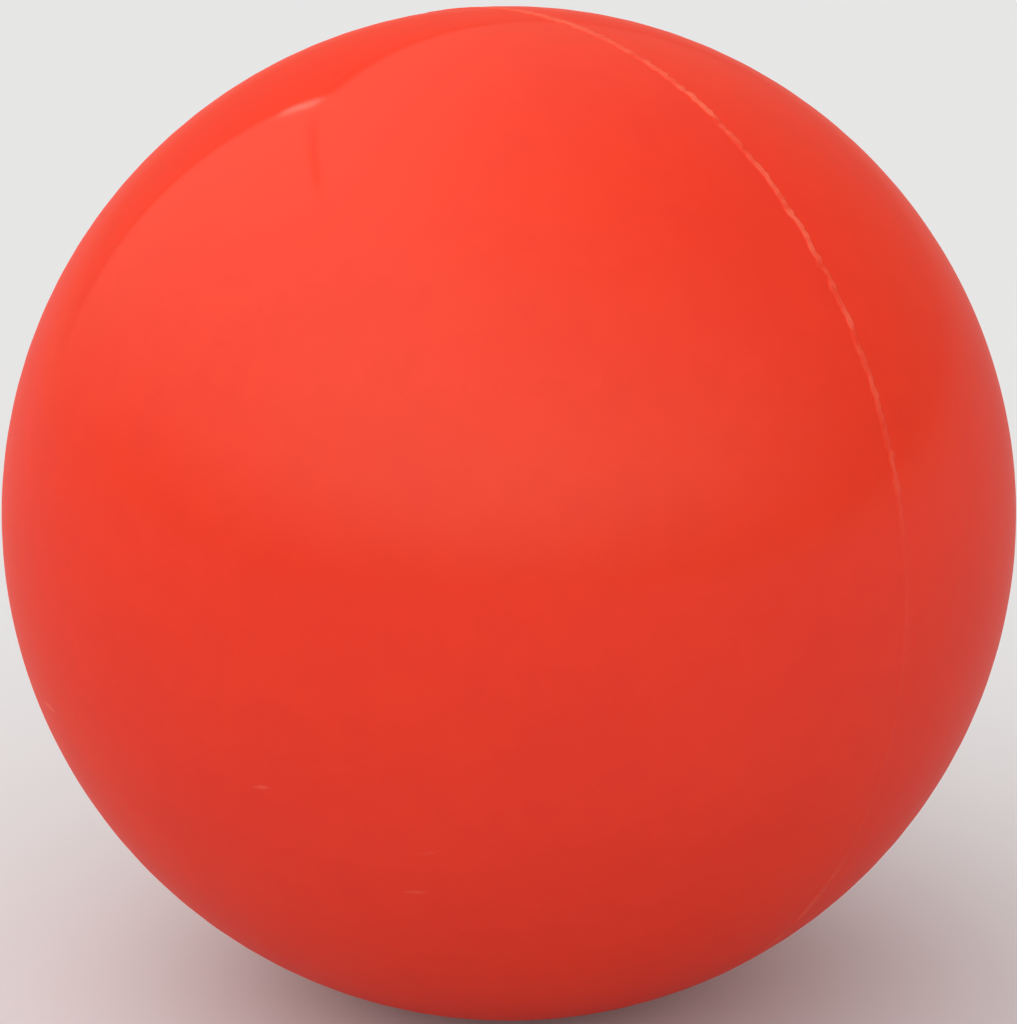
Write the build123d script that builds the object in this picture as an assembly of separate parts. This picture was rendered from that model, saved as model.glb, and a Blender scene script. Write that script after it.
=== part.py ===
from build123d import *
import os
from math import atan2, cos, sin, sqrt

# Inflatable rubber dodgeball, in millimetres. The ball's centre is the origin, X runs out through
# the valve, Z is up, and the parting line of the mould lies in the plane X = 0.

# Wall of the ball, from the skin inwards
ball_diameter = 216.0
cover_wall = 1.3
winding_wall = 0.4
bladder_wall = 0.7
cement_film = 0.12

# Parting line: trimmed moulding flash on the skin, skived lap under it
flash_height = 0.25
flash_root_width = 1.5
flash_tip_width = 0.7
skive_lap = 5.0

# Valve housing
boss_diameter = 10.0
boss_rim_round = 0.3
cover_lip_round = 0.5
valve_recess = 0.3
flange_diameter = 36.0
flange_thickness = 1.5
flange_edge = 0.5
flange_root_fillet = 1.0
barrel_diameter = 9.0
patch_diameter = 28.0

# Valve core, a plug that is pushed into the housing
core_clearance = 0.05
head_diameter = 6.6
head_thickness = 1.6
head_rim_round = 0.3
shank_diameter = 4.6
shank_length = 11.0
rib_count = 3
rib_width = 1.2
rib_relief = 0.25
needle_duct_diameter = 1.5
funnel_diameter = 3.0
funnel_depth = 0.8
bill_length = 4.0
bill_lip = 1.3
slit_width = 2.8
slit_gap = 0.15

# Radii of the layers about the ball's centre, each a cement film inside the one before
skin = ball_diameter / 2
cover_inside = skin - cover_wall
winding_outside = cover_inside - cement_film
winding_inside = winding_outside - winding_wall
bladder_outside = winding_inside - cement_film
bladder_inside = bladder_outside - bladder_wall
flange_outside = bladder_inside - cement_film
valve_face = skin - valve_recess

# Radii about the valve axis
boss = boss_diameter / 2
wall_hole = boss + cement_film
patch = patch_diameter / 2
winding_eye = patch + cement_film
flange = flange_diameter / 2
barrel = barrel_diameter / 2
head = head_diameter / 2
head_seat = head + core_clearance
shank = shank_diameter / 2
shank_bore = shank + core_clearance
shank_neck = shank - rib_relief
duct = needle_duct_diameter / 2
funnel = funnel_diameter / 2

# Stations along the valve axis, from the valve's face inwards
seat_floor = valve_face - head_thickness
duct_mouth = valve_face - funnel_depth
shank_end = seat_floor - shank_length
bill_end = shank_end - bill_length


# Point of a profile on a sphere about the ball's centre, at a distance from the valve axis
def on_sphere(radius, off_axis):
    return (sqrt(radius**2 - off_axis**2), off_axis)


# Arc of a profile about the ball's centre, from one point to another
def sphere_arc(start, end):
    radius = sqrt(start[0] ** 2 + start[1] ** 2)
    middle = (atan2(start[1], start[0]) + atan2(end[1], end[0])) / 2
    return ThreePointArc(start, (radius * cos(middle), radius * sin(middle)), end)


# Ring of a layer of the wall, between two distances from the valve axis
def wall_ring(outside, inside, near, far):
    with BuildPart() as ring:
        with BuildSketch():
            with BuildLine():
                sphere_arc(on_sphere(outside, near), on_sphere(outside, far))
                Line(on_sphere(outside, far), on_sphere(inside, far))
                sphere_arc(on_sphere(inside, far), on_sphere(inside, near))
                Line(on_sphere(inside, near), on_sphere(outside, near))
            make_face()
        revolve(axis=Axis.X)
    return ring.part


# Whole layer of the wall with one round eye for the valve
def wall_layer(outside, inside, eye):
    with BuildPart() as layer:
        with BuildSketch():
            with BuildLine():
                sphere_arc((-outside, 0), on_sphere(outside, eye))
                Line(on_sphere(outside, eye), on_sphere(inside, eye))
                sphere_arc(on_sphere(inside, eye), (-inside, 0))
                Line((-inside, 0), (-outside, 0))
            make_face()
        revolve(axis=Axis.X)
    return layer.part


# Corner of a profile that lies nearest to a point
def corner_at(sketch, point):
    return sketch.vertices().sort_by_distance((*point, 0))[0]


# The two halves of the skin share the flash's top, the parting line and the skived lap under it
flash_top = (0, skin + flash_height)
parting = (0, skin)
lap_end = (skive_lap, sqrt(cover_inside**2 - skive_lap**2))


# Flash of one half, from the parting line to where it runs out on the skin
def flash_corners(side):
    tip = (side * flash_tip_width / 2, skin + flash_height)
    root = (side * flash_root_width / 2, sqrt(skin**2 - (flash_root_width / 2) ** 2))
    return flash_top, tip, root


def make_cover_plain_half():
    top, tip, root = flash_corners(-1)
    with BuildPart() as half:
        with BuildSketch():
            with BuildLine():
                sphere_arc((-skin, 0), root)
                Polyline(root, tip, top, parting, lap_end)
                sphere_arc(lap_end, (-cover_inside, 0))
                Line((-cover_inside, 0), (-skin, 0))
            make_face()
        revolve(axis=Axis.X)
    return half.part


def make_cover_valve_half():
    top, tip, root = flash_corners(1)
    lip = on_sphere(skin, wall_hole)
    with BuildPart() as half:
        with BuildSketch() as profile:
            with BuildLine():
                sphere_arc(root, lip)
                Line(lip, on_sphere(cover_inside, wall_hole))
                sphere_arc(on_sphere(cover_inside, wall_hole), lap_end)
                Polyline(lap_end, parting, top, tip, root)
            make_face()
            fillet(corner_at(profile, lip), cover_lip_round)
        revolve(axis=Axis.X)
    return half.part


def make_thread_winding():
    return wall_layer(winding_outside, winding_inside, winding_eye)


def make_bladder():
    return wall_layer(bladder_outside, bladder_inside, wall_hole)


def make_valve_patch():
    return wall_ring(winding_outside, winding_inside, wall_hole, patch)


# Boss through the wall, feathered flange against the inside of the bladder, open-ended barrel
def make_valve_housing():
    boss_rim = on_sphere(valve_face, boss)
    seat_rim = on_sphere(valve_face, head_seat)
    flange_start = on_sphere(flange_outside, boss)
    flange_rim = on_sphere(flange_outside, flange)
    flange_back = on_sphere(flange_outside - flange_edge, flange)
    flange_root = (on_sphere(flange_outside, barrel)[0] - flange_thickness, barrel)
    with BuildPart() as housing:
        with BuildSketch() as profile:
            with BuildLine():
                sphere_arc(seat_rim, boss_rim)
                Line(boss_rim, flange_start)
                sphere_arc(flange_start, flange_rim)
                Polyline(
                    flange_rim,
                    flange_back,
                    flange_root,
                    (shank_end, barrel),
                    (shank_end, shank_bore),
                    (seat_floor, shank_bore),
                    (seat_floor, head_seat),
                    seat_rim,
                )
            make_face()
            fillet(corner_at(profile, boss_rim), boss_rim_round)
            fillet(corner_at(profile, flange_root), flange_root_fillet)
        revolve(axis=Axis.X)
    return housing.part


# One sealing rib of the shank, square towards the skin and sloped on the side that goes in first
def rib_corners(number):
    middle = seat_floor - shank_length * (number + 0.5) / rib_count
    outer = middle + rib_width / 2
    inner = middle - rib_width / 2
    return [(outer, shank_neck), (outer, shank), (inner + rib_relief, shank), (inner, shank_neck)]


# Domed head, ribbed shank with the needle duct, and a duckbill whose slit the air presses shut
def make_valve_core():
    head_rim = on_sphere(valve_face, head)
    mouth = on_sphere(valve_face, funnel)
    ribs = [corner for number in range(rib_count) for corner in rib_corners(number)]
    with BuildPart() as core:
        with BuildSketch() as profile:
            with BuildLine():
                sphere_arc(mouth, head_rim)
                Polyline(
                    head_rim,
                    (seat_floor, head),
                    (seat_floor, shank_neck),
                    *ribs,
                    (bill_end, shank_neck),
                    (bill_end, 0),
                    (shank_end, 0),
                    (shank_end, duct),
                    (duct_mouth, duct),
                    mouth,
                )
            make_face()
            fillet(corner_at(profile, head_rim), head_rim_round)
        revolve(axis=Axis.X)
        # Two sloped flats turn the round end into the bill
        with BuildSketch(Plane.XZ) as flat:
            with BuildLine():
                Polyline(
                    (shank_end, shank_neck),
                    (bill_end, bill_lip / 2),
                    (bill_end, shank_neck),
                    close=True,
                )
            make_face()
            mirror(about=Plane.XZ)
        extrude(amount=shank_neck, both=True, mode=Mode.SUBTRACT)
        with Locations(((shank_end + bill_end) / 2, 0, 0)):
            Box(bill_length, slit_width, slit_gap, mode=Mode.SUBTRACT)
    return core.part


pieces = {
    "cover_plain_half": make_cover_plain_half(),
    "cover_valve_half": make_cover_valve_half(),
    "thread_winding": make_thread_winding(),
    "bladder": make_bladder(),
    "valve_patch": make_valve_patch(),
    "valve_housing": make_valve_housing(),
    "valve_core": make_valve_core(),
}

os.makedirs("parts", exist_ok=True)
for name, piece in pieces.items():
    export_step(piece, f"parts/{name}.step")
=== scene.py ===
import math

import bpy
import numpy as np
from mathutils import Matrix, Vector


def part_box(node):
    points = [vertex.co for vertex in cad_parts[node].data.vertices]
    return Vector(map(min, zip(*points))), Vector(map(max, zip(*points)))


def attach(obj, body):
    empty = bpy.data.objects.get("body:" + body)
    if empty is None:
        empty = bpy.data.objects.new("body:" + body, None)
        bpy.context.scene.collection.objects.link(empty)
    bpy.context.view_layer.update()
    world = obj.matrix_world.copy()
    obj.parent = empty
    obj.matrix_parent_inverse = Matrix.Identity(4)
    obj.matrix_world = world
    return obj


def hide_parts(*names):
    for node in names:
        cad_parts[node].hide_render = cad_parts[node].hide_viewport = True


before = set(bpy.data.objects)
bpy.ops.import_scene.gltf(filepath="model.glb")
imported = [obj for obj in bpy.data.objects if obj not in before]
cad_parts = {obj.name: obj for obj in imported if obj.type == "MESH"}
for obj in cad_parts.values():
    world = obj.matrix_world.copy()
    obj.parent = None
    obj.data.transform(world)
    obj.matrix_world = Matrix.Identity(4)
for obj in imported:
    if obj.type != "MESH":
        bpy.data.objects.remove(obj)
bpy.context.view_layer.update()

mm = 0.001
ballRadius = -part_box("cover_plain_half")[0].x                  # skin at the plain pole
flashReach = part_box("cover_plain_half")[1].z - ballRadius      # how far the flash may stand proud
windingRadius = -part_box("thread_winding")[0].x
print("frame: ball radius %.2f mm, flash %.2f mm" % (ballRadius / mm, flashReach / mm))


# a node socket that takes part in Python sums: every operator adds one Math node to its tree
class Sock:
    def __init__(self, tree, socket):
        self.tree = tree
        self.socket = socket

    # any node: its type, its settings (set first), then values or links for its sockets
    @staticmethod
    def node(tree, kind, settings=None, inputs=None, out=0):
        made = tree.nodes.new("ShaderNode" + kind)
        for name, value in (settings or {}).items():
            setattr(made, name, value)
        for name, value in (inputs or {}).items():
            if isinstance(value, Sock):
                tree.links.new(value.socket, made.inputs[name])
            else:
                made.inputs[name].default_value = value
        return Sock(tree, made.outputs[out])

    def maths(self, operation, first, second=0.0):
        return Sock.node(self.tree, "Math", {"operation": operation}, {0: first, 1: second})

    def __add__(self, other):
        return self.maths("ADD", self, other)

    def __radd__(self, other):
        return self.maths("ADD", other, self)

    def __sub__(self, other):
        return self.maths("SUBTRACT", self, other)

    def __rsub__(self, other):
        return self.maths("SUBTRACT", other, self)

    def __mul__(self, other):
        return self.maths("MULTIPLY", self, other)

    def __rmul__(self, other):
        return self.maths("MULTIPLY", other, self)

    def __truediv__(self, other):
        return self.maths("DIVIDE", self, other)

    def __pow__(self, other):
        return self.maths("POWER", self, other)

    def __abs__(self):
        return self.maths("ABSOLUTE", self)

    def atLeast(self, other):
        return self.maths("MAXIMUM", self, other)

    def sine(self):
        return self.maths("SINE", self)

    def exponent(self):
        return self.maths("EXPONENT", self)

    # 0 below low, 1 above high, an S-curve between
    def rise(self, low, high):
        limits = {"Value": self, "From Min": low, "From Max": high}
        return Sock.node(self.tree, "MapRange", {"interpolation_type": "SMOOTHSTEP"}, limits)

    def dot(self, vector):
        pair = {0: self, 1: vector}
        return Sock.node(self.tree, "VectorMath", {"operation": "DOT_PRODUCT"}, pair, out="Value")

    def minus(self, vector):
        return Sock.node(self.tree, "VectorMath", {"operation": "SUBTRACT"}, {0: self, 1: vector})

    # this socket is the share of the second colour
    def mix(self, first, second):
        return Sock.node(self.tree, "Mix", {"data_type": "RGBA"}, {0: self, 6: first, 7: second}, out=2)

    # size of the lumps, levels of finer lumps in them, strength of each level against the one before
    def noise(self, size, detail=2.0, roughness=0.5):
        values = {"Vector": self, "Scale": 1 / size, "Detail": detail, "Roughness": roughness}
        return Sock.node(self.tree, "TexNoise", {"noise_dimensions": "3D"}, values)


# material with one glossy shader, whose constant sockets are set here
def newMaterial(name, **constants):
    material = bpy.data.materials.new(name)
    material.use_nodes = True
    tree = material.node_tree
    shader = tree.nodes["Principled BSDF"]
    for socket, value in constants.items():
        shader.inputs[socket.replace("_", " ")].default_value = value
    return material, tree, shader


def feed(shader, **links):
    for socket, value in links.items():
        shader.id_data.links.new(value.socket, shader.inputs[socket.replace("_", " ")])


# bump from a height in metres
def bumpOf(height):
    values = {"Height": height, "Strength": 1.0, "Distance": 1.0}
    return Sock.node(height.tree, "Bump", None, values, out="Normal")


# red cover rubber: smooth and glossy, a little mottled, paler where the flash was trimmed, with painted
# glints, a paler colour, on a few small scuffs
coverRubber = {
    "red": (0.82, 0.0255, 0.003, 1),
    "deepRed": (0.78, 0.0215, 0.003, 1),
    "trimmed": (0.86, 0.105, 0.062, 1),   # cut rubber on top of the flash
    # paler colour of the scuff marks: a painted glint
    "scuffGlintColour": (0.88, 0.110, 0.070, 1),
    "mottleNoise": (34 * mm, 3.0),
    "cloudNoise": (7 * mm, 3.0),
    "grainNoise": (0.7 * mm, 2.0),
    "mottleShare": 0.6,                   # the rest of the unevenness is in the clouds
    "redRange": (0.3, 0.7),               # unevenness over which the deep red turns into the red
    "cutRange": (0.15, 0.6),              # clouds over which the flash turns into cut rubber
    "scuffGlintRange": (0.2, 0.6),               # grain over which a scuff mark and its painted glint take
    "scuffGlintEdge": (0.0, 0.9),                # softness of the edge of a scuff mark and its painted glint
    "ripple": 0.004 * mm,                 # height of the faint orange peel
    "grain": 0.0006 * mm,
    "roughness": 0.60,
    "roughnessSpread": 0.06,
    "cutRoughness": 0.2,                  # added on the flash and on rub marks
    "gloss": {
        "IOR": 1.5,
        "Specular_IOR_Level": 0.10,
        "Specular_Tint": (1, 0.8, 0.6, 1),
        "Coat_Weight": 0.105,             # thin polished skin from the mould
        "Coat_Roughness": 0.08,
        "Coat_IOR": 3.0,
    },
    "scuffGlintDepth": 3 * mm,                   # how far through the skin a scuff mark with its painted glint is looked for
    # small scuff marks, rougher, each with a pale painted glint: middle, half length and half height in mm,
    # strength, tilt from level in degrees
    "scuffGlints": [
        ((-99.1, -34.5, -25.7), 2.2, 0.55, 0.60, 8),
        ((-79.9, -56.1, -46.2), 2.8, 0.55, 0.50, 4),
        ((-81.1, -61.5, -36.2), 3.0, 0.50, 0.20, 11),
        ((-99.5, 32.0, -27.1), 5.0, 1.10, 1.00, 4),
    ],
}


# mask of one scuff mark and its painted glint, a soft ellipse on the skin: 1 - (along / length)^2 - (across /
# height)^2 - (through / depth)^2, 0 outside
def scuffGlintMark(place, middle, halfLength, halfHeight, strength, tilt):
    middle = np.array(middle) * mm
    level = np.cross((0, 0, 1), middle)
    level = level / np.linalg.norm(level)
    upright = np.cross(middle, level)
    upright = upright / np.linalg.norm(upright)
    turn = math.radians(tilt)
    length = level * math.cos(turn) + upright * math.sin(turn)
    width = upright * math.cos(turn) - level * math.sin(turn)
    outward = middle / np.linalg.norm(middle)
    offset = place.minus(tuple(middle))
    along = offset.dot(tuple(length / (halfLength * mm)))
    across = offset.dot(tuple(width / (halfHeight * mm)))
    through = offset.dot(tuple(outward / coverRubber["scuffGlintDepth"]))
    return (1 - along ** 2 - across ** 2 - through ** 2).rise(*coverRubber["scuffGlintEdge"]) * strength


def coverRubberMaterial():
    look = coverRubber
    material, tree, shader = newMaterial("coverRubber", **look["gloss"])
    place = Sock.node(tree, "TexCoord", out="Object")
    mottle = place.noise(*look["mottleNoise"])
    cloud = place.noise(*look["cloudNoise"])
    grain = place.noise(*look["grainNoise"])
    flash = Sock.node(tree, "Attribute", {"attribute_name": "flash"}, out="Fac")
    uneven = mottle * look["mottleShare"] + cloud * (1 - look["mottleShare"])
    body = uneven.rise(*look["redRange"]).mix(look["deepRed"], look["red"])
    scuffGlints = None
    for mark in look["scuffGlints"]:
        one = scuffGlintMark(place, *mark)
        scuffGlints = one if scuffGlints is None else scuffGlints.atLeast(one)
    # painted glints: the scuff marks take a paler colour; the roughness added below is the scuff itself
    bodyWithScuffGlints = (scuffGlints * grain.rise(*look["scuffGlintRange"])).mix(body, look["scuffGlintColour"])
    colour = (flash * cloud.rise(*look["cutRange"])).mix(bodyWithScuffGlints, look["trimmed"])
    cut = (flash + scuffGlints) * look["cutRoughness"]
    roughness = look["roughness"] + look["roughnessSpread"] * (cloud - 0.5) + cut
    height = look["ripple"] * cloud + look["grain"] * grain
    feed(shader, Base_Color=colour, Roughness=roughness, Normal=bumpOf(height))
    return material


# black valve rubber: matt, with a grey bloom
valveRubber = {
    "housing": {"black": (0.022, 0.021, 0.021, 1), "bloom": (0.060, 0.058, 0.055, 1), "roughness": 0.50},
    "core": {"black": (0.030, 0.029, 0.029, 1), "bloom": (0.085, 0.082, 0.078, 1), "roughness": 0.55},
    "bloomNoise": (1.6 * mm, 4.0, 0.6),
    "bloomRange": (0.35, 0.8),   # noise over which the black turns into the bloom
    "grainNoise": (0.12 * mm, 2.0),
    "grain": 0.004 * mm,
    "roughnessSpread": 0.15,
}


def valveRubberMaterial(name, piece):
    look = valveRubber
    tone = look[piece]
    material, tree, shader = newMaterial(name, IOR=1.5)
    place = Sock.node(tree, "TexCoord", out="Object")
    bloom = place.noise(*look["bloomNoise"])
    grain = place.noise(*look["grainNoise"])
    colour = bloom.rise(*look["bloomRange"]).mix(tone["black"], tone["bloom"])
    roughness = tone["roughness"] + look["roughnessSpread"] * (bloom - 0.5)
    feed(shader, Base_Color=colour, Roughness=roughness, Normal=bumpOf(look["grain"] * grain))
    return material


# nylon thread wound over the bladder: stripes along several families of circles, each about its own axis,
# with painted shade in the grooves between the threads
winding = {
    "thread": (0.80, 0.78, 0.72, 1),
    # darker colour between the threads: painted shade in the grooves
    "paintedGrooveShade": (0.42, 0.38, 0.32, 1),
    "pitch": 0.9 * mm,
    "crown": 0.15 * mm,          # how far a thread stands up
    "swayNoise": (25 * mm, 1.0),
    "sway": 3 * mm,              # how far the lay of the thread drifts
    "fade": (0.35, 0.75),        # shares of the radius between which a family of circles thins out
    "fibreNoise": (0.2 * mm, 2.0),
    "fibreShare": 0.2,
    "roughness": 0.75,
    "shine": 0.2,                # taken off the roughness on a thread's crown
    "axes": [(1, 0.2, 0.1), (0.1, 1, -0.3), (-0.4, 0.3, 1), (0.6, -0.7, 0.5), (0.5, 0.6, 0.7)],
}


def threadMaterial():
    look = winding
    material, tree, shader = newMaterial("windingThread", IOR=1.5)
    place = Sock.node(tree, "TexCoord", out="Object")
    sway = place.noise(*look["swayNoise"]) * look["sway"]
    strands = None
    for axis in look["axes"]:
        axis = np.array(axis) / np.linalg.norm(axis)
        level = place.dot(tuple(axis))
        stripe = ((level + sway) * (2 * math.pi / look["pitch"])).sine()
        near = 1 - (abs(level) / windingRadius).rise(*look["fade"])
        strand = (stripe * 0.5 + 0.5) * near
        strands = strand if strands is None else strands.atLeast(strand)
    fibre = place.noise(*look["fibreNoise"])
    pale = strands * (1 - look["fibreShare"]) + fibre * look["fibreShare"]
    # painted shade where the threads dip, thread colour on their crowns
    colour = pale.mix(look["paintedGrooveShade"], look["thread"])
    roughness = look["roughness"] - look["shine"] * strands
    feed(shader, Base_Color=colour, Roughness=roughness, Normal=bumpOf(look["crown"] * strands))
    return material


# butyl bladder: black, dusted with talc
bladder = {
    "butyl": (0.018, 0.018, 0.019, 1),
    "talc": (0.30, 0.30, 0.29, 1),
    "dustNoise": (12 * mm, 5.0, 0.65),
    "dustShare": 0.7,            # the rest of the talc lies in specks
    "speckNoise": (0.8 * mm, 3.0),
    "talcRange": (0.4, 0.75),    # noise over which the butyl turns into the talc
    "speck": 0.01 * mm,
    "roughness": 0.50,
    "talcRoughness": 0.35,       # added where the talc lies
}


def bladderMaterial():
    look = bladder
    material, tree, shader = newMaterial("bladderButyl", IOR=1.5)
    place = Sock.node(tree, "TexCoord", out="Object")
    dust = place.noise(*look["dustNoise"])
    speck = place.noise(*look["speckNoise"])
    talc = (dust * look["dustShare"] + speck * (1 - look["dustShare"])).rise(*look["talcRange"])
    colour = talc.mix(look["butyl"], look["talc"])
    roughness = look["roughness"] + look["talcRoughness"] * talc
    feed(shader, Base_Color=colour, Roughness=roughness, Normal=bumpOf(look["speck"] * speck))
    return material


# patch cloth: plain weave across the valve axis, sine of the warp times sine of the weft, with painted shade
# where the weave dips
patchCloth = {
    # darker colour where the weave dips: painted shade
    "paintedGrooveShade": (0.36, 0.33, 0.27, 1),
    "thread": (0.72, 0.69, 0.60, 1),
    "pitch": 0.7 * mm,
    "crown": 0.08 * mm,
    "fuzzNoise": (0.3 * mm, 3.0),
    "fuzzShare": 0.3,
    "roughness": 0.85,
    "shine": 0.1,                # taken off the roughness on a thread's crown
}


def clothMaterial():
    look = patchCloth
    material, tree, shader = newMaterial("patchCloth", IOR=1.45)
    place = Sock.node(tree, "TexCoord", out="Object")
    turn = 2 * math.pi / look["pitch"]
    warp = (place.dot((0, 1, 0)) * turn).sine()
    weft = (place.dot((0, 0, 1)) * turn).sine()
    weave = warp * weft * 0.5 + 0.5
    fuzz = place.noise(*look["fuzzNoise"])
    pale = weave * (1 - look["fuzzShare"]) + fuzz * look["fuzzShare"]
    # painted shade in the dips of the weave, thread colour on the crossings
    colour = pale.mix(look["paintedGrooveShade"], look["thread"])
    roughness = look["roughness"] - look["shine"] * weave
    feed(shader, Base_Color=colour, Roughness=roughness, Normal=bumpOf(look["crown"] * weave))
    return material


# mesh of a grid that closes round its columns: rows is (rows, columns, 3), in metres. A loop also joins
# the last row to the first; otherwise each end is closed by a fan to its pole point
def ringMesh(name, rows, loop, poles=None, shares=None):
    rowCount, columns = rows.shape[:2]
    across = np.arange(columns)
    beside = (across + 1) % columns
    start = np.arange(rowCount if loop else rowCount - 1)[:, None] * columns
    after = (start + columns) % (rowCount * columns)
    quads = np.stack([start + across, start + beside, after + beside, after + across], -1).reshape(-1, 4)
    points = rows.reshape(-1, 3)
    faces = quads.tolist()
    if not loop:
        last = (rowCount - 1) * columns
        points = np.vstack([points, poles])
        firstFan = np.stack([np.full(columns, rowCount * columns), beside, across], -1)
        lastFan = np.stack([np.full(columns, rowCount * columns + 1), last + across, last + beside], -1)
        faces += firstFan.tolist() + lastFan.tolist()
    corners = points[quads]
    halves = np.cross(corners[:, 1] - corners[:, 0], corners[:, 2] - corners[:, 0])
    halves = halves + np.cross(corners[:, 2] - corners[:, 0], corners[:, 3] - corners[:, 0])
    if (halves * corners.mean(1)).sum() < 0:          # volume by the flux of the position vector
        faces = [face[::-1] for face in faces]
    mesh = bpy.data.meshes.new(name)
    mesh.from_pydata(points.tolist(), [], faces)
    mesh.polygons.foreach_set("use_smooth", np.ones(len(faces), bool))
    if shares is not None:
        values = np.zeros(len(points))
        values[: shares.size] = shares.ravel()
        mesh.attributes.new("flash", "FLOAT", "POINT").data.foreach_set("value", values)
    mesh.update()
    piece = bpy.data.objects.new(name, mesh)
    bpy.context.scene.collection.objects.link(piece)
    return piece


# rows of a profile turned about the valve axis: (x, r cos, r sin)
def turnAboutX(along, off, angle):
    return np.stack([along + 0 * angle, off * np.cos(angle), off * np.sin(angle)], -1)


# random curve that closes round the ring: cosines of every whole number of waves in the range, random
# phases, weights falling as one over the root of the number, scaled to a spread of 1
def ringNoise(angle, waves, seed):
    draw = np.random.default_rng(seed)
    number = np.arange(*waves)[:, None]
    phase = draw.uniform(0, 2 * math.pi, number.shape)
    curve = (np.cos(number * angle + phase) / np.sqrt(number)).sum(0)
    return curve / curve.std()


# the two halves of the cover, with the trimmed flash along their parting line
cover = {
    "wall": 1.3 * mm,
    "columns": 1280,
    "farRows": 30,
    "innerRows": 14,
    "nearRows": 8,
    "nearBand": 6 * mm,          # rows crowd together within this arc of the parting line
    "nearPower": 1.8,            # how strongly they crowd
    "poleGap": 0.04,             # angle by which the inner rows stop short of the pole
    "lap": 5 * mm,               # skived lap under the parting line
    "holeRadius": 5.12 * mm,     # valve opening
    "lipRound": 0.53 * mm,
    "lipRows": 6,
}
partingFlash = {
    "height": flashReach * 0.96,   # a little inside the CAD box
    "leastHeight": 0.006 * mm,
    "rootWidth": 1.65 * mm,
    "tipShare": 0.55,            # flat top as a share of the width
    "flankPower": 1.2,           # above 1 the flanks are hollow
    "steps": [0, 0.12, 0.26, 0.38, 0.45, 0.50, 0.56, 0.63, 0.71, 0.80, 0.90, 1.0],   # rows across one side
    "heightMiddle": 0.80,
    "heightSpread": 0.22,
    "heightLimits": (0.25, 1),
    "widthSpread": 0.22,
    "widthLimits": (0.5, 1.6),
    "wander": 0.07 * mm,         # slow sideways drift
    "fidget": 0.10 * mm,         # quick sideways jitter
    "driftReach": 2.5 * mm,      # arc over which the skin follows both
    "sink": 0.03 * mm,           # the skin dips a little beside the flash
    "sinkReach": 4 * mm,
    "paleGain": 1.3,             # how soon a low flash already looks cut
    # unevenness round the ring: from and to how many waves, seed
    "slow": ((4, 60), 11),
    "slowShare": 0.6,
    "quick": ((90, 420), 12),
    "quickShare": 0.8,
    "broadening": ((40, 420), 13),
    "wandering": ((3, 24), 14),
    "fidgeting": ((110, 420), 15),
    # what the trimming left: angle round X from +Y in degrees, share of the height, share of the width
    "left": [
        (0, 0.60, 1.1),
        (60, 0.65, 1.3),
        (88, 0.62, 1.9),
        (103, 0.66, 1.7),
        (109, 0.90, 1.4),
        (112, 1.00, 1.3),
        (126, 1.00, 1.15),
        (140, 0.88, 1.1),
        (147, 0.62, 1.1),
        (152, 0.48, 1.05),
        (158, 0.40, 1.0),
        (166, 0.30, 1.0),
        (171, 0.12, 1.0),
        (182, 0.06, 1.0),
        (206, 0.06, 1.0),
        (213, 0.50, 1.7),
        (222, 0.62, 1.9),
        (234, 0.30, 1.4),
        (255, 0.12, 1.0),
        (290, 0.45, 1.0),
        (330, 0.70, 1.0),
    ],
    "jogLengths": 6,             # nick lengths over which a jog dies away
    # nicks: angle in degrees, length, depth as a share of the height, sideways jog
    "nicks": [
        (109.4, 1.2 * mm, 0.5, 0.12 * mm),
        (122.4, 1.4 * mm, 0.97, -0.28 * mm),
        (128.6, 0.7 * mm, 0.4, 0.12 * mm),
        (133.4, 0.8 * mm, 0.5, -0.14 * mm),
        (136.0, 0.7 * mm, -0.35, 0.20 * mm),
        (138.8, 0.6 * mm, 0.40, -0.18 * mm),
        (141.8, 0.8 * mm, 0.85, 0.26 * mm),
        (24.0, 1.3 * mm, 0.8, 0.15 * mm),
        (68.0, 1.1 * mm, 0.7, -0.12 * mm),
        (231.0, 1.5 * mm, 0.8, 0.15 * mm),
        (287.0, 1.2 * mm, 0.9, -0.18 * mm),
        (334.0, 1.0 * mm, 0.7, 0.10 * mm),
    ],
}
ringAngle = np.linspace(0, 2 * math.pi, cover["columns"], endpoint=False)


# height, half width on one side and sideways place of the flash at every column
def flashAlongRing(side):
    look = partingFlash
    degrees, shares, widths = zip(*look["left"])
    left = np.interp(np.degrees(ringAngle), degrees, shares, period=360)
    broad = np.interp(np.degrees(ringAngle), degrees, widths, period=360)
    rough = look["slowShare"] * ringNoise(ringAngle, *look["slow"])
    rough = rough + look["quickShare"] * ringNoise(ringAngle, *look["quick"])
    stands = np.clip(look["heightMiddle"] + look["heightSpread"] * rough, *look["heightLimits"])
    height = look["height"] * left * stands
    waves, seed = look["broadening"]
    spread = 1 + look["widthSpread"] * ringNoise(ringAngle, waves, seed + side)
    width = look["rootWidth"] / 2 * broad * np.clip(spread, *look["widthLimits"])
    place = look["wander"] * ringNoise(ringAngle, *look["wandering"])
    place = place + look["fidget"] * ringNoise(ringAngle, *look["fidgeting"])
    for angle, length, depth, jog in look["nicks"]:
        turn = (ringAngle - math.radians(angle) + math.pi) % (2 * math.pi) - math.pi
        far = turn * ballRadius / length
        height = height * (1 - depth * np.exp(-far ** 2))
        place = place + jog * np.tanh(far) * np.exp(-(far / look["jogLengths"]) ** 2)
    return np.clip(height, look["leastHeight"], look["height"]), width, place


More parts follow.
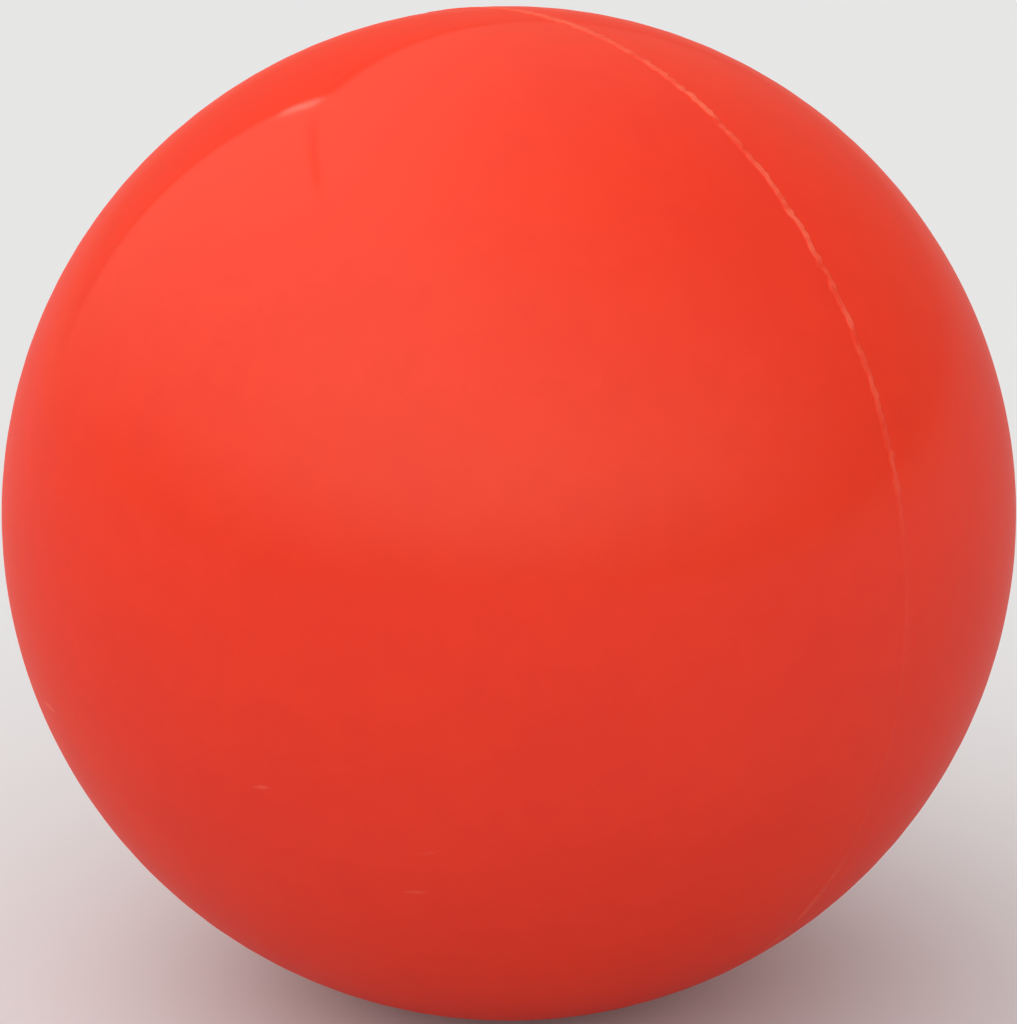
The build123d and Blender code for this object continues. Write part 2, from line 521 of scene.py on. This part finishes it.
# one half: rows run from its pole, or its valve opening, over the skin to the flash, down the parting face
# and the lap, and back along the inside
def coverHalf(name, side):
    look = partingFlash
    height, width, place = flashAlongRing(side)
    steps = np.array(look["steps"])[:, None]
    fall = np.clip((1 - steps) / (1 - look["tipShare"]), 0, 1)
    share = fall ** look["flankPower"] * np.ones_like(width)
    nearSteps = np.arange(1, cover["nearRows"] + 1)[:, None] / cover["nearRows"]
    near = width + (cover["nearBand"] - width) * nearSteps ** cover["nearPower"]
    opening = math.asin((cover["holeRadius"] + cover["lipRound"]) / ballRadius) if side > 0 else 0
    reach = ballRadius * (math.pi / 2 - opening)
    last = reach if side > 0 else reach * (1 - 0.5 / cover["farRows"])   # half a row short of the pole
    far = np.linspace(cover["nearBand"], last, cover["farRows"] + 1)[1:, None] * np.ones_like(width)
    arc = np.vstack([steps * width, near, far])
    share = np.vstack([share, np.zeros((len(near) + len(far), cover["columns"]))])
    # latitude from the parting plane is arc / radius; the flash is added to the radius
    sink = look["sink"] * np.exp(-(arc / look["sinkReach"]) ** 2)
    radius = ballRadius + share * height - np.where(share > 0, 0, sink) * (arc > width)
    along = side * radius * np.sin(arc / ballRadius) + place * np.exp(-(arc / look["driftReach"]) ** 2)
    off = radius * np.cos(arc / ballRadius)
    outer = turnAboutX(along, off, ringAngle)[::-1]
    share = (share * np.clip(height / look["height"] * look["paleGain"], 0, 1))[::-1]
    # parting face, then the slant of the lap down to the inside
    inside = ballRadius - cover["wall"]
    lapAngle = math.asin(cover["lap"] / inside)
    face = turnAboutX(place[None, :], np.full((1, cover["columns"]), ballRadius), ringAngle)
    innerEnd = math.asin(cover["holeRadius"] / inside) if side > 0 else cover["poleGap"]
    innerArc = np.linspace(side * lapAngle, math.pi / 2 - innerEnd, cover["innerRows"])
    innerAlong = side * inside * np.sin(innerArc)[:, None]
    innerOff = inside * np.cos(innerArc)[:, None]
    inner = turnAboutX(innerAlong, innerOff * np.ones_like(ringAngle), ringAngle)
    rows = [outer, face, inner]
    if side > 0:
        # rounded lip of the valve opening: a quarter circle from the skin into the hole
        turn = np.linspace(0, math.pi / 2, cover["lipRows"], endpoint=False)[:, None]
        bend = cover["lipRound"]
        lipAlong = math.sqrt(ballRadius ** 2 - (cover["holeRadius"] + bend) ** 2) - bend + bend * np.sin(turn)
        lipOff = cover["holeRadius"] + bend * (1 - np.cos(turn)) * np.ones_like(ringAngle)
        lip = turnAboutX(lipAlong, lipOff, ringAngle)
        rows = [lip] + rows
        share = np.vstack([np.zeros(lip.shape[:2]), share])
    rows = np.concatenate(rows)
    shares = np.zeros(rows.shape[:2])
    shares[: len(share)] = share
    poles = [(side * ballRadius, 0, 0), (side * inside, 0, 0)]
    return ringMesh(name, rows, loop=side > 0, poles=poles, shares=shares)


# points of a profile with its corners rounded: corners are (x, r, round), each becomes an arc of a few points
def roundedProfile(corners):
    arcPoints = 5
    straight = 1.55              # half angle in radians from which a corner counts as straight
    points = []
    count = len(corners)
    for number, (x, r, size) in enumerate(corners):
        here = np.array((x, r))
        before = np.array(corners[number - 1][:2]) - here
        after = np.array(corners[(number + 1) % count][:2]) - here
        before = before / np.linalg.norm(before)
        after = after / np.linalg.norm(after)
        half = math.acos(np.clip(before @ after, -1, 1)) / 2
        if size == 0 or half > straight:
            points.append(here)
            continue
        middle = here + (before + after) / np.linalg.norm(before + after) * size / math.sin(half)
        first = here + before * size / math.tan(half) - middle
        final = here + after * size / math.tan(half) - middle
        share = np.linspace(0, 1, arcPoints)[:, None]
        bow = first * (1 - share) + final * share
        points.extend(middle + bow / np.linalg.norm(bow, axis=1, keepdims=True) * size)
    return np.array(points)


# valve in mm: boss through the wall, flange inside the bladder, barrel, and a push-in core with a duckbill
valve = {
    "columns": 160,
    "face": 107.7,               # radius of the domed face about the ball's centre
    "bossRadius": 5.0,
    "flangeRadius": 18.0,
    "flangeOutside": 105.24,     # the same for the flange's outer side
    "flangeEdge": 0.5,
    "flangeThickness": 1.5,
    "barrelRadius": 4.5,
    "headRadius": 3.3,
    "headThickness": 1.6,
    "shankRadius": 2.3,
    "neckRadius": 2.05,
    "shankLength": 11.0,
    "ribWidth": 1.2,
    "ribCount": 3,
    "fitGap": 0.05,
    "ductRadius": 0.75,
    "funnelRadius": 1.5,
    "funnelDepth": 0.8,
    "billLength": 4.0,
    "billLip": 1.3,
    "slitWidth": 2.8,
    "slitGap": 0.15,
    "mouthRadius": 1.5,          # grid radius of the bill's inside, before it is pressed to the slit
    "rimRound": 0.3,
    "edgeRound": 0.15,
    "seatRound": 0.1,
    "ribRound": 0.06,
    "ribSlope": 0.25,
    "rootFillet": 1.0,
}
valveAngle = np.linspace(0, 2 * math.pi, valve["columns"], endpoint=False)
seatFloor = valve["face"] - valve["headThickness"]
shankEnd = seatFloor - valve["shankLength"]
billEnd = shankEnd - valve["billLength"]


# place along the valve axis of a dome about the ball's centre, at a distance from the axis
def domeAt(radius, off):
    return math.sqrt(radius ** 2 - off ** 2)


def valveHousing():
    v = valve
    seatRadius = v["headRadius"] + v["fitGap"]
    boreRadius = v["shankRadius"] + v["fitGap"]
    out = v["flangeOutside"]
    corners = [
        (domeAt(v["face"], seatRadius), seatRadius, v["edgeRound"]),
        (domeAt(v["face"], v["bossRadius"]), v["bossRadius"], v["rimRound"]),
        (domeAt(out, v["bossRadius"]), v["bossRadius"], v["seatRound"]),
        (domeAt(out, v["flangeRadius"] / 2), v["flangeRadius"] / 2, 0),
        (domeAt(out, v["flangeRadius"] * 3 / 4), v["flangeRadius"] * 3 / 4, 0),
        (domeAt(out, v["flangeRadius"]), v["flangeRadius"], v["edgeRound"]),
        (domeAt(out - v["flangeEdge"], v["flangeRadius"]), v["flangeRadius"], v["edgeRound"]),
        (domeAt(out, v["barrelRadius"]) - v["flangeThickness"], v["barrelRadius"], v["rootFillet"]),
        (shankEnd, v["barrelRadius"], v["rimRound"]),
        (shankEnd, boreRadius, v["seatRound"]),
        (seatFloor, boreRadius, v["seatRound"]),
        (seatFloor, seatRadius, v["seatRound"]),
    ]
    profile = roundedProfile(corners) * mm
    rows = turnAboutX(profile[:, :1], profile[:, 1:] * np.ones_like(valveAngle), valveAngle)
    return ringMesh("valveHousing", rows, loop=True)


def valveCore():
    v = valve
    ribs = []
    for number in range(v["ribCount"]):
        middle = seatFloor - v["shankLength"] * (number + 0.5) / v["ribCount"]
        outer = middle + v["ribWidth"] / 2
        inner = middle - v["ribWidth"] / 2
        ribs += [
            (outer, v["neckRadius"], v["ribRound"]),
            (outer, v["shankRadius"], v["ribRound"]),
            (inner + v["ribSlope"], v["shankRadius"], v["ribRound"]),
            (inner, v["neckRadius"], v["ribRound"]),
        ]
    corners = [
        (domeAt(v["face"], v["funnelRadius"]), v["funnelRadius"], v["edgeRound"]),
        (domeAt(v["face"], v["headRadius"]), v["headRadius"], v["rimRound"]),
        (seatFloor, v["headRadius"], v["seatRound"]),
        (seatFloor, v["neckRadius"], v["edgeRound"]),
        *ribs,
        (shankEnd, v["neckRadius"], 0),
        (shankEnd - v["billLength"] / 3, v["neckRadius"], 0),
        (shankEnd - v["billLength"] * 2 / 3, v["neckRadius"], 0),
        (billEnd, v["neckRadius"], v["edgeRound"]),
        (billEnd, v["mouthRadius"], 0),
        (shankEnd, v["mouthRadius"], 0),
        (shankEnd, v["ductRadius"], 0),
        (v["face"] - v["funnelDepth"], v["ductRadius"], v["rimRound"]),
    ]
    profile = roundedProfile(corners)
    along = profile[:, :1] * np.ones_like(valveAngle)
    rows = turnAboutX(profile[:, :1], profile[:, 1:] * np.ones_like(valveAngle), valveAngle)
    # the bill: past the shank's end the section is cut by two flats that close in to the lip
    closing = np.clip((shankEnd - along) / v["billLength"], 0, 1)
    flat = v["neckRadius"] + (v["billLip"] / 2 - v["neckRadius"]) * closing
    flat = np.where(along < shankEnd, flat, v["headRadius"])
    rows[..., 2] = np.clip(rows[..., 2], -flat, flat)
    # the slit: the inner rows of the bill shrink to a long narrow mouth
    slit = (profile[:, 1] == v["mouthRadius"]) & (profile[:, 0] <= shankEnd)
    rows[slit, :, 1] = v["slitWidth"] / 2 * np.cos(valveAngle)
    rows[slit, :, 2] = v["slitGap"] / 2 * np.sin(valveAngle)
    return ringMesh("valveCore", rows * mm, loop=True)


# pale floor: paler to the eye and in reflections than in the light that it throws back, and a touch cool, so
# that it looks neutral under the warm light
floorLook = {
    "size": 14.0,
    "roughness": 0.9,
    "seen": (0.66, 0.657, 0.76, 1),
    "bounce": (0.50, 0.50, 0.57, 1),
}


def buildFloor():
    half = floorLook["size"] / 2
    low = -ballRadius
    mesh = bpy.data.meshes.new("floor")
    corners = [(-half, -half, low), (half, -half, low), (half, half, low), (-half, half, low)]
    mesh.from_pydata(corners, [], [(0, 1, 2, 3)])
    floor = bpy.data.objects.new("floor", mesh)
    bpy.context.scene.collection.objects.link(floor)
    matt = {"Roughness": floorLook["roughness"], "Specular_IOR_Level": 0.0}
    material, tree, shader = newMaterial("paleFloor", **matt)
    eye = Sock.node(tree, "LightPath", out="Is Camera Ray")
    gloss = Sock.node(tree, "LightPath", out="Is Glossy Ray")
    through = Sock.node(tree, "LightPath", out="Is Transmission Ray")
    seen = eye.atLeast(gloss).atLeast(through)
    feed(shader, Base_Color=seen.mix(floorLook["bounce"], floorLook["seen"]))
    mesh.materials.append(material)


camera = {
    "azimuth": -44.5,
    "elevation": 16.5,
    "ballsAway": 5.81,           # distance in ball radii
    "frameHeight": 1024,
    "ballPixels": 507.4,         # radius of the ball in the frame
    "right": 0.4,                # pixels by which the ball's middle lies off the frame's
    "down": 1.4,
    "sensor": 36,
}
# soft studio light: a few broad lobes on the sky, each strength * exp(sharpness * (cosine - 1)), cut off
# behind the ball by the straight edges of two light panels, with a narrow gap where the panels meet
studio = {
    "colour": (1, 1, 0.86, 1),         # slightly warm white
    "base": 0.48,
    "sharpness": 5.0,
    "lobes": [
        # azimuth from the camera, elevation, strength
        (-135, 5, 0.26),
        (-45, 5, 0.30),
        (0, 5, 0.57),
        (45, 5, 0.27),
        (-135, 35, 0.54),
        (-90, 35, 0.33),
        (-45, 35, 0.50),
        (0, 35, 0.25),
        (45, 35, 0.33),
        (180, 35, 0.16),
        (-135, 65, 0.40),
        (-45, 65, 0.42),
    ],
    "edges": [(-42, 25), (68, 42)],    # direction square to each panel's edge, into the panel
    "edgeBlur": 0.02,
    "lowShare": 0.38,                  # share of the panels' light at floor level
    "growth": (-0.05, 0.40),           # sines of the elevations between which it grows to the whole
    "haze": 0.79,                      # least light at floor level, as bright as the floor looks
    "hazeHeight": 0.30,                # sine of the elevation where the haze ends
    "frameWidth": 0.045,               # dark frame along the edges
    "frameDepth": 0.45,
    "gap": (-146, 43, -111, 57),       # from where to where the panels' gap runs
    "gapWidth": 0.022,
    "gapEnds": (-0.02, 0.03),          # cosines about its ends between which the gap fades in
    "gapDepth": 0.7,
    "tube": [(-149.9, 35.0), (-150.6, 36.6), (-151.2, 38.2)],   # short bare tube near the corner
    "tubeStrength": 4.4,
    "tubeSharpness": 6000,
}


def towards(azimuth, elevation):
    a, e = math.radians(azimuth), math.radians(elevation)
    return (math.sin(a) * math.cos(e), -math.cos(a) * math.cos(e), math.sin(e))


def buildLight():
    world = bpy.data.worlds.new("studio")
    bpy.context.scene.world = world
    world.use_nodes = True
    tree = world.node_tree
    sky = tree.nodes["Background"]
    ray = Sock.node(tree, "TexCoord", out="Generated")
    turned = camera["azimuth"]
    level = 0.0
    for azimuth, elevation, strength in studio["lobes"]:
        facing = ray.dot(towards(turned + azimuth, elevation))
        level = level + strength * ((facing - 1) * studio["sharpness"]).exponent()
    height = ray.dot((0, 0, 1))
    level = level * (studio["lowShare"] + (1 - studio["lowShare"]) * height.rise(*studio["growth"]))
    into = None                        # sine of the angle from the nearest edge, positive on a panel
    for azimuth, elevation in studio["edges"]:
        one = ray.dot(towards(turned + azimuth, elevation))
        into = one if into is None else into.atLeast(one)
    panel = into.rise(-studio["edgeBlur"], studio["edgeBlur"])
    frameLine = 1 - abs(into + studio["frameWidth"] / 2).rise(0.0, studio["frameWidth"] / 2)
    startAzimuth, startElevation, endAzimuth, endElevation = studio["gap"]
    start = np.array(towards(turned + startAzimuth, startElevation))
    end = np.array(towards(turned + endAzimuth, endElevation))
    square = np.cross(start, end) / np.linalg.norm(np.cross(start, end))
    middle = (start + end) / np.linalg.norm(start + end)
    reach = float(start @ middle)
    across = abs(ray.dot(tuple(square)))
    fadeStart, fadeEnd = studio["gapEnds"]
    within = ray.dot(tuple(middle)).rise(reach + fadeStart, reach + fadeEnd)
    gap = (1 - across.rise(0.0, studio["gapWidth"])) * within
    level = level * panel * (1 - gap * studio["gapDepth"]) + studio["base"]
    level = level * (1 - frameLine * studio["frameDepth"])
    level = level.atLeast(studio["haze"] * (1 - height.rise(0.0, studio["hazeHeight"])))
    for azimuth, elevation in studio["tube"]:
        facing = ray.dot(towards(turned + azimuth, elevation))
        level = level + studio["tubeStrength"] * ((facing - 1) * studio["tubeSharpness"]).exponent()
    sky.inputs["Color"].default_value = studio["colour"]
    tree.links.new(level.socket, sky.inputs["Strength"])


def buildCamera():
    back = np.array(towards(camera["azimuth"], camera["elevation"]))
    data = bpy.data.cameras.new("camera")
    eye = bpy.data.objects.new("camera", data)
    bpy.context.scene.collection.objects.link(eye)
    eye.location = back * ballRadius * camera["ballsAway"]
    eye.rotation_mode = "QUATERNION"
    eye.rotation_quaternion = (-eye.location).to_track_quat("-Z", "Y")
    # tangent of the ball's half angle, over its share of half the frame, gives the frame's half angle
    ballTangent = 1 / math.sqrt(camera["ballsAway"] ** 2 - 1)
    frameTangent = ballTangent * (camera["frameHeight"] / 2) / camera["ballPixels"]
    data.sensor_width = camera["sensor"]
    data.lens = data.sensor_width / 2 / frameTangent
    data.shift_x = -camera["right"] / camera["frameHeight"]
    data.shift_y = camera["down"] / camera["frameHeight"]
    bpy.context.scene.camera = eye


# put a new piece on its body in place of its CAD node
def seat(piece, body, node, material):
    piece.data.materials.append(material)
    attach(piece, body)
    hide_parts(node)


skinMaterial = coverRubberMaterial()
seat(coverHalf("plainHalf", -1), "ball", "cover_plain_half", skinMaterial)
seat(coverHalf("valveHalf", 1), "ball", "cover_valve_half", skinMaterial)
print("cover halves made")

seat(valveHousing(), "ball", "valve_housing", valveRubberMaterial("valveRubber", "housing"))
seat(valveCore(), "valve_core", "valve_core", valveRubberMaterial("coreRubber", "core"))
print("valve made")

for node, material in (
    ("thread_winding", threadMaterial()),
    ("bladder", bladderMaterial()),
    ("valve_patch", clothMaterial()),
):
    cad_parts[node].data.materials.clear()
    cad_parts[node].data.materials.append(material)
print("inner layers dressed")

buildFloor()
buildLight()
buildCamera()
bpy.context.scene.view_settings.view_transform = "Standard"
print("floor, light and camera set")
